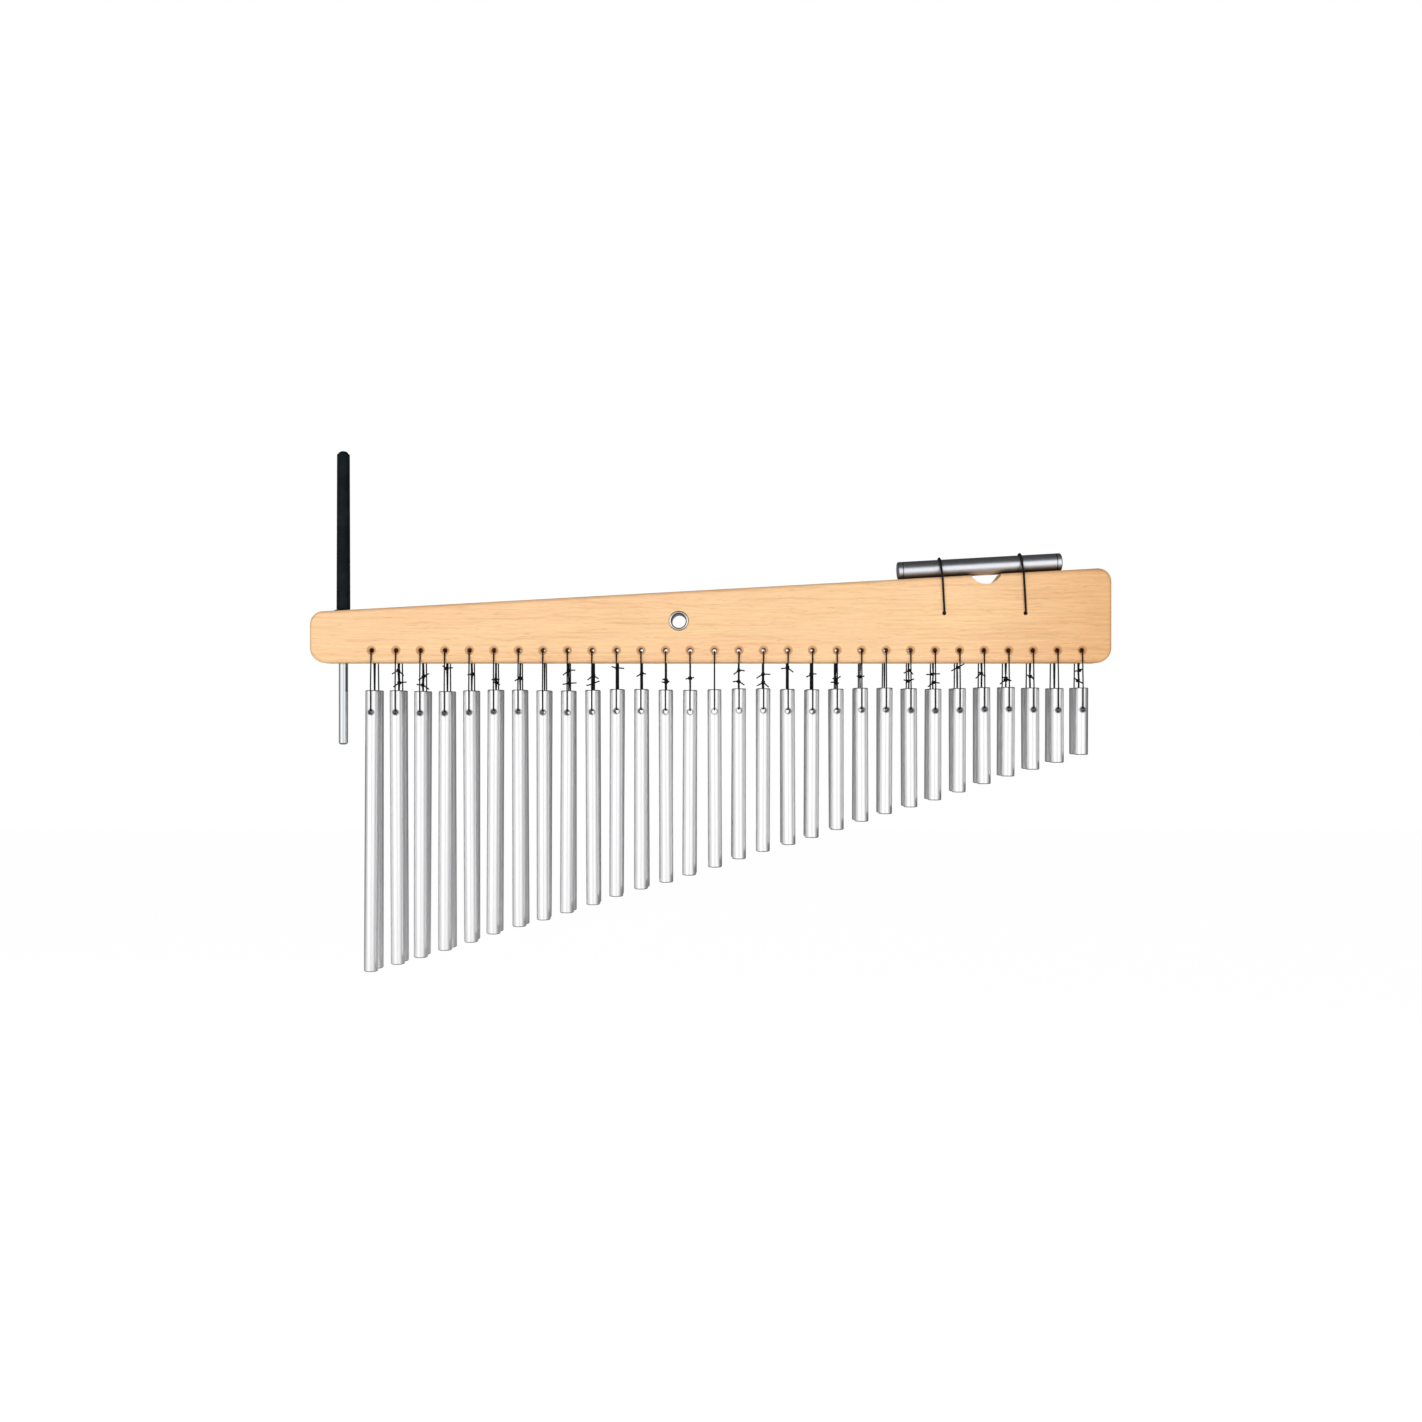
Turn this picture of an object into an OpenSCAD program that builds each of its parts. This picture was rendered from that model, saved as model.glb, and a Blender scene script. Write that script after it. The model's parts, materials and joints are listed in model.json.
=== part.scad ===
// A bar chime: pairs of bars hang in two rows under a tapered wooden beam.
// A beater stands parked in the beam, and a thick energy chime is strapped on its sloped top.
// The origin is the centre of the stand bore, halfway through the beam's thickness.
// X runs along the beam towards the short bars, Y from front to back, and Z is up.
// All sizes are in millimetres, and all angles in degrees.

/* [Beam] */
// Length of the beam
beam_length = 573.5; // [568:0.5:640]
// Thickness of the beam from front to back
beam_thickness = 20; // [19:0.5:26]
// Height of the beam's left end, above the long bars
beam_height_left = 36.6; // [34:0.1:50]
// Height of the beam's right end, above the short bars
beam_height_right = 68.3; // [58:0.1:80]
// Corner radius at the two upper ends, seen from the front
top_corner_radius = 9.5; // [5:0.5:12]
// Corner radius at the two lower ends, seen from the front
bottom_corner_radius = 11; // [5:0.5:14]
// Rounding of the long edges
edge_radius = 3; // [1:0.25:4]
// Width of the groove in the underside, where the inner strands of the cords hang
groove_width = 6; // [5.5:0.25:8]
// Depth of the groove
groove_depth = 14; // [12:0.5:18]

/* [Stand bore] */
// Distance of the stand bore from the beam's left end
stand_bore_from_left = 264; // [240:1:290]
// Height of the stand bore above the beam's underside
stand_bore_height = 30; // [24:0.5:36]
// Bore of the metal eyelet, where the stand's rod goes in
eyelet_bore = 10; // [8:0.5:12]
// Wall of the eyelet's barrel
eyelet_wall = 0.7; // [0.5:0.1:1.2]
// Width of the eyelet's rolled rim, outside its bore
eyelet_rim_width = 2.1; // [1.6:0.1:3]
// Height of the rolled rim in front of the beam
eyelet_rim_height = 1; // [0.6:0.1:1.6]
// Outer diameter of the washer behind the beam
washer_diameter = 17; // [16.5:0.5:22]
// Thickness of the washer
washer_thickness = 0.8; // [0.5:0.1:1.5]

/* [Bars] */
// Number of bar pairs, each with one bar in front and one behind
bar_pairs = 30; // [12:1:30]
// Distance from one pair to the next
pitch = 17.5; // [15:0.25:18]
// Distance of the first pair's cord holes from the beam's left end
first_pair_from_left = 44.5; // [42:0.5:48]
// Diameter of a bar
bar_diameter = 10; // [8:0.5:11]
// Length of the two longest bars
longest_bar = 201; // [150:1:230]
// Length of the two shortest bars
shortest_bar = 48; // [36:0.5:80]
// Chamfer at both ends of a bar
bar_chamfer = 0.5; // [0.2:0.1:1]
// Distance of a bar's cross-hole from its upper end
bar_hole_from_top = 15.7; // [10:0.1:20]
// Diameter of a bar's cross-hole
bar_hole_diameter = 3.5; // [3:0.1:4]
// Gap between the front row and the rear row
row_gap = 3; // [2.8:0.1:5]
// Drop from the beam's underside to the upper ends of the longest bars
bar_drop = 20; // [19.5:0.5:30]
// How much higher the shortest bars hang than the longest ones
bar_rise = 2.6; // [0:0.2:3]
// Uneven hanging height, up or down
height_scatter = 0.5; // [0:0.1:0.8]
// Uneven lean of the bars, to the left or the right
lean_scatter = 0.3; // [0:0.05:0.5]

/* [Cords] */
// Diameter of the waxed cord that carries a bar
cord_diameter = 1; // [0.8:0.1:1.2]
// Height of the cord holes above the beam's underside
cord_hole_height = 9; // [8:0.5:10]
// Diameter of the cord holes through the beam
cord_hole_diameter = 2.9; // [2.4:0.1:3.4]
// Mouth diameter of the countersink round each cord hole
countersink_diameter = 6.2; // [4:0.1:7]
// Diameter of a knot
knot_diameter = 2.6; // [2.2:0.1:2.8]
// Length of a knot's loose tails
tail_length = 4.4; // [3:0.1:5]

/* [Beater] */
// Distance of the beater from the beam's left end
beater_from_left = 22; // [18:0.5:26]
// Diameter of the beater's steel rod
beater_rod_diameter = 6.5; // [5:0.25:7]
// Reach of the rod below the beam's underside, when it is parked
beater_rod_reach = 58.5; // [30:0.5:80]
// Length of the rod inside the grip
beater_rod_in_grip = 70; // [30:1:90]
// Length of the grip without its domed top
grip_length = 112; // [95:1:140]
// Diameter of the grip at its lower end
grip_diameter_low = 9.7; // [9:0.1:12]
// Diameter of the grip at its upper end
grip_diameter_high = 9; // [8:0.1:10]
// Height of the grip's domed top
grip_dome = 2.3; // [1:0.1:4]
// Width of the flat shoulder round the foot of the dome
grip_shoulder = 0.9; // [0.5:0.1:1.5]
// Diameter of the bush's flange on top of the beam
bush_flange_diameter = 13.7; // [12.5:0.1:15]
// Thickness of the bush's flange, under the grip
bush_flange_thickness = 1.4; // [1:0.1:2]
// Thickness of the flange's thin outer rim
bush_rim_thickness = 0.6; // [0.4:0.1:0.9]
// Wall of the bush's neck
bush_wall = 1.5; // [1:0.1:1.8]
// Depth of the bush's neck in the beam
bush_depth = 24; // [12:1:28]

/* [Energy chime] */
// Diameter of the energy chime
energy_diameter = 13; // [10:0.5:14]
// Length of the energy chime
energy_length = 118; // [100:1:130]
// Distance of the energy chime's middle from the beam's left end
energy_from_left = 480.2; // [468:0.1:492]
// Rounding at both ends of the energy chime
energy_rounding = 1.2; // [0.5:0.1:2]
// Distance of the fine turned line from each end
energy_line_from_end = 3.7; // [3:0.1:6]
// Depth of the fine turned line
energy_line_depth = 0.25; // [0.1:0.05:0.4]
// Distance between the two elastic cords, along the energy chime
elastic_spacing = 58; // [44:1:70]
// Shift of both elastic cords along the energy chime
elastic_shift = 0.5; // [-4:0.5:4]
// Diameter of the elastic cord
elastic_diameter = 1.6; // [1.2:0.1:2]
// Diameter of the elastic cords' holes through the beam
elastic_hole_diameter = 3; // [2.6:0.1:3.6]
// Height of the elastic cords' holes above the beam's underside
elastic_hole_height = 35.5; // [30:0.5:38]
// Distance of the finger notch's middle from the beam's left end
notch_from_left = 483.5; // [473:0.5:492]
// Radius of the finger notch under the energy chime
notch_radius = 12.2; // [11:0.1:13]
// Depth of the finger notch below the sloped top
notch_depth = 6.9; // [6:0.1:8]

/* [Clearances] */
// Clearance round a fixed piece in its seat
seat_clearance = 0.05; // [0.03:0.01:0.1]
// Clearance round the beater's rod in its bush
rod_clearance = 0.1; // [0.05:0.01:0.2]
// Gap between a cord and the face that it lies along
cord_gap = 0.3; // [0.2:0.05:0.4]

/* [Hidden] */
$fn = 48;

// Ends, faces and slope of the beam
left_x = -stand_bore_from_left;
right_x = left_x + beam_length;
under_z = -stand_bore_height;
face_y = beam_thickness / 2;
slope = atan((beam_height_right - beam_height_left) / beam_length);
function top_z(x) = under_z + beam_height_left + (x - left_x) * tan(slope);

// Cutters run this far past the faces that they cut
past = 1;

// The groove runs on past the first and the last pair
groove_overrun = 7;

// Pairs of bars, counted from 1 at the long end
step_down = (longest_bar - shortest_bar) / (bar_pairs - 1);
row_y = (bar_diameter + row_gap) / 2;
function pair_x(i) = left_x + first_pair_from_left + (i - 1) * pitch;
function bar_length(i) = longest_bar - (i - 1) * step_down;

// A steady but uneven spread between -1 and 1, for hand-tied lengths and leans
function uneven(i, turn) = sin(i * turn);
function lean(i, side) = lean_scatter * uneven(i + side / 4, 137);

// A bar hangs on its cord, so the cord lies at the top of the bar's cross-hole.
// The run of cord there, which the bar swings on, is a little fuller than the strands.
cord_radius = cord_diameter / 2;
pivot_radius = 1.04 * cord_radius;
hang = bar_hole_diameter / 2 - pivot_radius - seat_clearance;
function swing_z(i) =
    under_z - bar_drop + bar_rise * (i - 1) / (bar_pairs - 1)
    - bar_hole_from_top + hang + height_scatter * uneven(i, 71);

// A cord loop goes round one wall of the groove, out through the beam's face and down
cord_hole_z = under_z + cord_hole_height;
loop_top_z = cord_hole_z - (cord_hole_diameter / 2 - cord_radius - seat_clearance);
loop_face_y = face_y + cord_gap + cord_radius;
loop_groove_y = groove_width / 2 - cord_gap - cord_radius;
loop_outer_y = row_y + bar_diameter / 2 + cord_gap + cord_radius;
loop_inner_y = row_gap / 2 - cord_gap * 2 / 3 - cord_radius;
loop_bend = 1.5 * cord_radius;
loop_bends = [1, 1, 0, 1, 1, 0] * loop_bend;
loop_steps = [2, 2, 0, 2, 2, 0];
cord_sides = 8;

// A loop runs straight down beside its bar from just above the bar's upper end
function bar_top_z(i) = swing_z(i) + bar_hole_from_top - hang;
function loop_bar_z(i) = bar_top_z(i) + cord_diameter;

// Knots sit on the inner strands between the beam and the bars, a little to the outside.
// They stay clear of the beam, and their tails stay clear of the bars when those swing.
// A third of them are tucked up into the groove, shifted to its middle instead.
knot_shift = 0.5;
tucked_share = 0.5;
tucked_depth = 4.5;
knot_headroom = 0.6;
tail_headroom = 1;
knot_highest = under_z - knot_diameter / 2 - knot_headroom;
function knot_lowest(i) = bar_top_z(i) + knot_diameter / 2 + tail_length / 2 + tail_headroom;
function knot_middle(i) = (knot_highest + knot_lowest(i)) / 2;
function knot_spread(i) = (knot_highest - knot_lowest(i)) / 2;
function knot_level(i, side) = uneven(i + side / 3, 103);
function is_tucked(i, side) = knot_level(i, side) > tucked_share;
function knot_z(i, side) =
    is_tucked(i, side)
    ? under_z + tucked_depth
    : knot_middle(i)
        + knot_spread(i) * (2 * knot_level(i, side) + 1 - tucked_share) / (1 + tucked_share);
function strand_y(i, z) =
    loop_groove_y
    + (loop_inner_y - loop_groove_y) * (loop_top_z - z) / (loop_top_z - loop_bar_z(i));

// Beater and its bush
beater_x = left_x + beater_from_left;
bush_sink = 0.2;
bush_seat_z = top_z(beater_x - bush_flange_diameter / 2) - bush_sink;
bush_bore_radius = beater_rod_diameter / 2 + rod_clearance;
bush_neck_radius = bush_bore_radius + bush_wall;
grip_base_z = bush_seat_z + bush_flange_thickness;
rod_tip_z = under_z - beater_rod_reach;

// The energy chime lies on the slope, so it has a frame of its own, turned by the slope
energy_x = left_x + energy_from_left;
energy_radius = energy_diameter / 2;
energy_rise = energy_radius + seat_clearance;
energy_z = top_z(energy_x) + energy_rise * cos(slope) + energy_rise * sin(slope) * tan(slope);
elastic_radius = elastic_diameter / 2;
elastic_hole_z = under_z + elastic_hole_height;
function elastic_along(side) = elastic_shift + side * elastic_spacing / 2;
function elastic_down(side) =
    (elastic_hole_z - energy_z - elastic_along(side) * sin(slope)) / cos(slope);
function elastic_hole_x(side) =
    energy_x + elastic_along(side) * cos(slope) - elastic_down(side) * sin(slope);

// Finger notch under the energy chime
notch_x = left_x + notch_from_left;
notch_z = top_z(notch_x) - notch_depth + notch_radius;

// Colours of the finishes
wood_colour = "#d9ae80";
metal_colour = "#c9ccd0";
chrome_colour = "#b9bdc2";
steel_colour = "#8d9096";
dark_colour = "#55585c";
black_colour = "#1c1c1e";

// Names of the nodes
function two_digits(n) = str(n < 10 ? "0" : "", n);
function bars_name(i) = str("bars_", two_digits(i));
function cords_name(g) = str("cords_", two_digits(g));
pairs_in_group = 2;
cord_groups = ceil(bar_pairs / pairs_in_group);

// Helpers

function unit(v) = v / norm(v);
function heading(v) = atan2(v.y, v.x);

// Points of an elliptical arc, from one angle to another
function arc(centre, width, height, from, to, steps) =
    [for (k = [0 : steps])
        let (a = from + (to - from) * k / steps)
        centre + [width * cos(a), height * sin(a)]];

// A closed loop of round cord in the XY plane, through corners given anticlockwise.
// Each corner is a bend of its own radius, with rings at even steps along it,
// or a mitre with one ring where its steps are 0.
module cord_loop(corners, bends, steps, radius) {
    count = len(corners);
    run_in = [for (k = [0 : count - 1]) unit(corners[k] - corners[(k + count - 1) % count])];
    turn = [for (k = [0 : count - 1]) acos(run_in[k] * run_in[(k + 1) % count])];
    centre = [for (k = [0 : count - 1])
        corners[k]
        - bends[k] * tan(turn[k] / 2) * run_in[k]
        + bends[k] * [-run_in[k].y, run_in[k].x]];
    rings = [for (k = [0 : count - 1])
        for (j = [0 : steps[k]])
            let (
                share = steps[k] == 0 ? 0.5 : j / steps[k],
                ahead = heading(run_in[k]) + turn[k] * share
            )
            [for (c = [0 : cord_sides - 1])
                let (
                    around = 360 * (c + 0.5) / cord_sides,
                    out = bends[k] + radius * cos(around)
                )
                [centre[k].x + out * sin(ahead), centre[k].y - out * cos(ahead), radius * sin(around)]]];
    last = len(rings);
    faces = [for (k = [0 : last - 1])
        for (c = [0 : cord_sides - 1])
            let (next = (k + 1) % last, beside = (c + 1) % cord_sides)
            [
                k * cord_sides + beside,
                next * cord_sides + beside,
                next * cord_sides + c,
                k * cord_sides + c
            ]];
    polyhedron([for (ring = rings) for (point = ring) point], faces);
}

// Stands a shape drawn in the XY plane up in the YZ plane
module stand_up() {
    rotate([90, 0, 90]) children();
}

// A knot with two loose tails, which point down to the left and to the right.
// It is a stub of cord wrapped once round, a little askew.
module knot(diameter, tail, tail_radius, droop_left, droop_right) {
    inside = diameter / 4;
    rotate([9, 7, 0]) {
        cylinder(h = 0.45 * diameter, d = diameter, center = true, $fn = 10);
        cylinder(h = 0.95 * diameter, d = 0.78 * diameter, center = true, $fn = 10);
    }
    for (turn = [90 + droop_right, -90 - droop_left])
        rotate([0, turn, 0])
            translate([0, 0, inside])
                cylinder(h = diameter / 2 - inside + tail, r = tail_radius, $fn = 7);
}

// Beam

// One corner of the beam: a disc with rounded rims, standing on edge
module beam_corner(x, z, radius) {
    inset = face_y - edge_radius;
    translate([x, 0, z])
        rotate([90, 0, 0])
            rotate_extrude($fn = 40)
                polygon(concat(
                    [[0, -face_y]],
                    arc([radius - edge_radius, -inset], edge_radius, edge_radius, -90, 0, 6),
                    arc([radius - edge_radius, inset], edge_radius, edge_radius, 0, 90, 6),
                    [[0, face_y]]
                ));
}

module beam_blank() {
    low_z = under_z + bottom_corner_radius;
    top_inset = top_corner_radius / cos(slope);
    top_left_x = left_x + top_corner_radius;
    top_right_x = right_x - top_corner_radius;
    hull() {
        beam_corner(left_x + bottom_corner_radius, low_z, bottom_corner_radius);
        beam_corner(right_x - bottom_corner_radius, low_z, bottom_corner_radius);
        beam_corner(top_left_x, top_z(top_left_x) - top_inset, top_corner_radius);
        beam_corner(top_right_x, top_z(top_right_x) - top_inset, top_corner_radius);
    }
}

// A round hole from the front face to the back
module cross_hole(x, z, radius) {
    translate([x, 0, z])
        rotate([90, 0, 0])
            cylinder(h = beam_thickness + 2 * past, r = radius, center = true);
}

// The countersinks at both mouths of a cord hole
module countersinks(x, z) {
    mouth = countersink_diameter / 2;
    deep = mouth - cord_hole_diameter / 2;
    for (side = [-1, 1])
        translate([x, side * face_y, z])
            rotate([side * 90, 0, 0])
                cylinder(h = deep, r1 = mouth, r2 = mouth - deep);
}

// The groove is milled, so its ends are round
module groove() {
    translate([0, 0, under_z - past])
        linear_extrude(height = groove_depth + past)
            hull()
                for (x = [pair_x(1) - groove_overrun, pair_x(bar_pairs) + groove_overrun])
                    translate([x, 0])
                        circle(d = groove_width, $fn = 24);
}

// The stepped bore of the beater: a seat for the bush's flange, its neck, and the rod's way out
module beater_bore() {
    step = 0.5;
    translate([beater_x, 0, bush_seat_z])
        cylinder(h = bush_flange_thickness + past, r = bush_flange_diameter / 2 + cord_gap);
    translate([beater_x, 0, bush_seat_z - bush_depth - step])
        cylinder(h = bush_depth + step + past, r = bush_neck_radius + seat_clearance);
    translate([beater_x, 0, under_z - past])
        cylinder(h = bush_seat_z - under_z, r = beater_rod_diameter / 2 + step);
}

module beam() {
    barrel_radius = eyelet_bore / 2 + eyelet_wall;
    color(wood_colour)
        difference() {
            beam_blank();
            groove();
            for (i = [1 : bar_pairs]) {
                cross_hole(pair_x(i), cord_hole_z, cord_hole_diameter / 2);
                countersinks(pair_x(i), cord_hole_z);
            }
            cross_hole(0, 0, barrel_radius + seat_clearance);
            for (side = [-1, 1])
                cross_hole(elastic_hole_x(side), elastic_hole_z, elastic_hole_diameter / 2);
            cross_hole(notch_x, notch_z, notch_radius);
            beater_bore();
        }
}

// Stand bore

// The eyelet's section: rolled rims at both mouths of a thin barrel
module stand_eyelet() {
    inner = eyelet_bore / 2;
    outer = inner + eyelet_wall;
    back_y = face_y + washer_thickness;
    half_rim = eyelet_rim_width / 2;
    middle = inner + half_rim;
    color(chrome_colour)
        rotate([90, 0, 0])
            rotate_extrude()
                polygon(concat(
                    arc([middle, face_y], half_rim, eyelet_rim_height, 180, 0, 12),
                    [[outer, face_y], [outer, -back_y]],
                    arc([middle, -back_y], half_rim, -eyelet_rim_height, 0, 180, 12)
                ));
}

module eyelet_washer() {
    bore = eyelet_bore / 2 + eyelet_wall + seat_clearance;
    edge = washer_thickness / 4;
    rim = washer_diameter / 2;
    color(chrome_colour)
        translate([0, face_y + washer_thickness, 0])
            rotate([90, 0, 0])
                rotate_extrude()
                    polygon([
                        [bore, 0],
                        [rim - edge, 0],
                        [rim, edge],
                        [rim, washer_thickness],
                        [bore, washer_thickness]
                    ]);
}

// Bars

// A bar stands on its lower end, with its cross-hole along Y
module bar(length) {
    radius = bar_diameter / 2;
    difference() {
        rotate_extrude()
            polygon([
                [0, 0],
                [radius - bar_chamfer, 0],
                [radius, bar_chamfer],
                [radius, length - bar_chamfer],
                [radius - bar_chamfer, length],
                [0, length]
            ]);
        translate([0, 0, length - bar_hole_from_top])
            rotate([90, 0, 0])
                cylinder(h = bar_diameter + 2 * past, d = bar_hole_diameter, center = true);
    }
}

// A pair hangs from one line along Y, the middle of the cords in the two cross-holes
module bar_pair(i) {
    length = bar_length(i);
    color(metal_colour)
        for (side = [-1, 1])
            translate([pair_x(i), side * row_y, swing_z(i)])
                rotate([0, lean(i, side), 0])
                    translate([0, 0, bar_top_z(i) - swing_z(i) - length])
                        bar(length);
}

// Cords

// The loop of one bar: through the beam's wall at the top, through the bar at the bottom
module bar_loop(i, side) {
    bottom_z = swing_z(i);
    corners = [
        [-loop_outer_y, bottom_z],
        [-loop_inner_y, bottom_z],
        [-loop_inner_y, loop_bar_z(i)],
        [-loop_groove_y, loop_top_z],
        [-loop_face_y, loop_top_z],
        [-loop_outer_y, loop_bar_z(i)]
    ];
    run_start = loop_inner_y + loop_bend + seat_clearance;
    run_end = loop_outer_y - loop_bend - seat_clearance;
    z = knot_z(i, side);
    shift = is_tucked(i, side) ? -knot_shift : knot_shift;
    translate([pair_x(i), 0, 0])
        mirror([0, side > 0 ? 1 : 0, 0]) {
            stand_up()
                cord_loop(corners, loop_bends, loop_steps, cord_radius);
            translate([0, -run_start, bottom_z])
                rotate([90, 0, 0])
                    cylinder(h = run_end - run_start, r = pivot_radius, $fn = 24);
            translate([0, -strand_y(i, z) - shift, z])
                knot(
                    knot_diameter,
                    tail_length * (0.8 + 0.2 * uneven(i, 47)),
                    cord_radius,
                    16 + 12 * uneven(i + side, 59),
                    16 + 12 * uneven(i - side, 83)
                );
        }
}

module cord_group(g) {
    first = (g - 1) * pairs_in_group + 1;
    last = min(g * pairs_in_group, bar_pairs);
    color(black_colour)
        for (i = [first : last])
            for (side = [-1, 1])
                bar_loop(i, side);
}

// Beater

module beater_bush() {
    flange_radius = bush_flange_diameter / 2;
    seat_radius = grip_diameter_low / 2 + 0.3;
    color(black_colour)
        translate([beater_x, 0, bush_seat_z])
            rotate_extrude()
                polygon([
                    [bush_bore_radius, -bush_depth],
                    [bush_neck_radius, -bush_depth],
                    [bush_neck_radius, 0],
                    [flange_radius, 0],
                    [flange_radius, bush_rim_thickness],
                    [seat_radius, bush_flange_thickness],
                    [bush_bore_radius, bush_flange_thickness]
                ]);
}

module beater_rod() {
    radius = beater_rod_diameter / 2;
    length = grip_base_z + beater_rod_in_grip - rod_tip_z;
    color(steel_colour)
        translate([beater_x, 0, rod_tip_z])
            rotate_extrude()
                polygon(concat(
                    [[0, 0]],
                    arc([radius / 2, radius / 2], radius / 2, radius / 2, -90, 0, 6),
                    [[radius, length], [0, length]]
                ));
}

module beater_grip() {
    low = grip_diameter_low / 2;
    high = grip_diameter_high / 2;
    edge = 0.6;
    rod_hole = beater_rod_diameter / 2 + seat_clearance;
    hole_depth = beater_rod_in_grip + seat_clearance;
    color(black_colour)
        translate([beater_x, 0, grip_base_z])
            rotate_extrude()
                polygon(concat(
                    [
                        [rod_hole, 0],
                        [low - edge, 0],
                        [low, edge],
                        [high, grip_length - edge / 2],
                        [high - edge / 2, grip_length]
                    ],
                    arc([0, grip_length], high - grip_shoulder, grip_dome, 0, 90, 8),
                    [[0, hole_depth], [rod_hole, hole_depth]]
                ));
}

// Energy chime

// Places a shape in the energy chime's frame: X along its axis, Z square to the slope
module on_slope() {
    translate([energy_x, 0, energy_z])
        rotate([0, -slope, 0])
            children();
}

// The section of a fine turned line, with its middle this far along the chime
function turned_line(along) = [
    [energy_radius, along - energy_line_depth],
    [energy_radius - energy_line_depth, along],
    [energy_radius, along + energy_line_depth]
];

module energy_chime() {
    inset = energy_radius - energy_rounding;
    far = energy_length - energy_rounding;
    color(dark_colour)
        on_slope()
            translate([-energy_length / 2, 0, 0])
                rotate([0, 90, 0])
                    rotate_extrude()
                        polygon(concat(
                            [[0, 0]],
                            arc([inset, energy_rounding], energy_rounding, energy_rounding, -90, 0, 5),
                            turned_line(energy_line_from_end),
                            turned_line(energy_length - energy_line_from_end),
                            arc([inset, far], energy_rounding, energy_rounding, 0, 90, 5),
                            [[0, energy_length]]
                        ));
}

// An elastic cord goes over the energy chime, over both top edges and through the beam.
// Its arc over the chime ends where a line from the beam's edge touches it.
module energy_cord(side) {
    below_edge = 2;
    over = energy_radius + cord_gap / 2 + elastic_radius;
    edge_y = face_y + cord_gap + elastic_radius;
    edge_z = -energy_rise - below_edge;
    hole_z = elastic_down(side) + elastic_hole_diameter / 2 - elastic_radius - seat_clearance;
    reach = norm([edge_y, edge_z]);
    tilt = acos(over / reach) - atan(-edge_z / edge_y);
    corners = [
        [-edge_y, hole_z],
        [edge_y, hole_z],
        [edge_y, edge_z],
        [0, over / sin(tilt)],
        [-edge_y, edge_z]
    ];
    low_bend = 1.5 * elastic_radius;
    edge_bend = 3 * elastic_radius;
    knot_size = 2.2 * elastic_diameter;
    knot_y = face_y + knot_size / 2 + cord_gap / 2;
    color(black_colour)
        on_slope()
            translate([elastic_along(side), 0, 0]) {
                stand_up()
                    cord_loop(
                        corners,
                        [low_bend, low_bend, edge_bend, over, edge_bend],
                        [2, 2, 1, 8, 1],
                        elastic_radius
                    );
                translate([0, knot_y, hole_z / 2])
                    knot(knot_size, tail_length, 0.9 * elastic_radius, 35, 50);
            }
}

module energy_cord_left() {
    energy_cord(-1);
}

module energy_cord_right() {
    energy_cord(1);
}

beam();
stand_eyelet();
eyelet_washer();
beater_bush();
beater_rod();
beater_grip();
energy_chime();
energy_cord_left();
energy_cord_right();
for (i = [1 : bar_pairs])
    bar_pair(i);
for (g = [1 : cord_groups])
    cord_group(g);
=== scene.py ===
import json
import math

import bmesh
import bpy
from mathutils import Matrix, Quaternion, Vector


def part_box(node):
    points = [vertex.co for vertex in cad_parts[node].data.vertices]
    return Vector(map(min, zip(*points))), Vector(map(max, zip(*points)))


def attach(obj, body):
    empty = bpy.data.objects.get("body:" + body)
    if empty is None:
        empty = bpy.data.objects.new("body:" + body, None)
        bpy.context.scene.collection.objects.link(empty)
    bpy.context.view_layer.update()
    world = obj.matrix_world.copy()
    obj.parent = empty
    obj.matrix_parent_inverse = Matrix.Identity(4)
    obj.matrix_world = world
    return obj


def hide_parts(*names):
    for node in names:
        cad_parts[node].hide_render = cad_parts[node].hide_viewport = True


# Bar chime: 30 pairs of hanging aluminium bars, a parked beater and a strapped energy chime.
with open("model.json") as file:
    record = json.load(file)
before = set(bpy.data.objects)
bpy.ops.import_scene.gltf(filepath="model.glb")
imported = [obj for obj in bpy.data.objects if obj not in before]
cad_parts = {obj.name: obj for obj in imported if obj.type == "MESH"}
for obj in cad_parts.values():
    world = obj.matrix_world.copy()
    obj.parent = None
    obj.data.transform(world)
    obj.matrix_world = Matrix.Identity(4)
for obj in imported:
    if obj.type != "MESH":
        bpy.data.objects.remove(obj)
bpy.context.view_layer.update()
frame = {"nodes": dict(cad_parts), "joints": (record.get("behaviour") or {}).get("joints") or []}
nodes = frame["nodes"]
print("frame loaded,", len(nodes), "nodes")

mm = 0.001  # the object's sizes below are in millimetres, and Blender's unit is the metre


# Small helpers


def colour(hexCode):  # sRGB hex to the linear colour that a shader takes
    parts = [int(hexCode[k : k + 2], 16) / 255 for k in (1, 3, 5)]
    return (*[p / 12.92 if p <= 0.04045 else ((p + 0.055) / 1.055) ** 2.4 for p in parts], 1.0)


def put(tree, kind, inputs=None, stops=None, **settings):  # one shader node, set and linked
    made = tree.nodes.new("ShaderNode" + kind)
    for name, value in settings.items():
        setattr(made, name, value)
    for name, value in (inputs or {}).items():
        if isinstance(value, bpy.types.NodeSocket):
            tree.links.new(value, made.inputs[name])
        else:
            made.inputs[name].default_value = value
    for k, (place, shade) in enumerate(stops or []):
        ramp = made.color_ramp.elements
        stop = ramp[k] if k < 2 else ramp.new(place)
        stop.position = place
        stop.color = shade
    return made


def newFinish(name):  # an empty material with its output, and the Object coordinates in metres
    finish = bpy.data.materials.new(name)
    finish.use_nodes = True
    tree = finish.node_tree
    tree.nodes.clear()
    return finish, tree, put(tree, "OutputMaterial"), put(tree, "TexCoord").outputs["Object"]


def streaks(tree, place, size, detail):  # noise stretched to this size in mm along each axis
    scale = [1 / (length * mm) for length in size]
    stretched = put(tree, "Mapping", {"Vector": place, "Scale": scale})
    return put(
        tree, "TexNoise", {"Vector": stretched.outputs["Vector"], "Scale": 1.0, "Detail": detail}
    ).outputs["Fac"]


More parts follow.
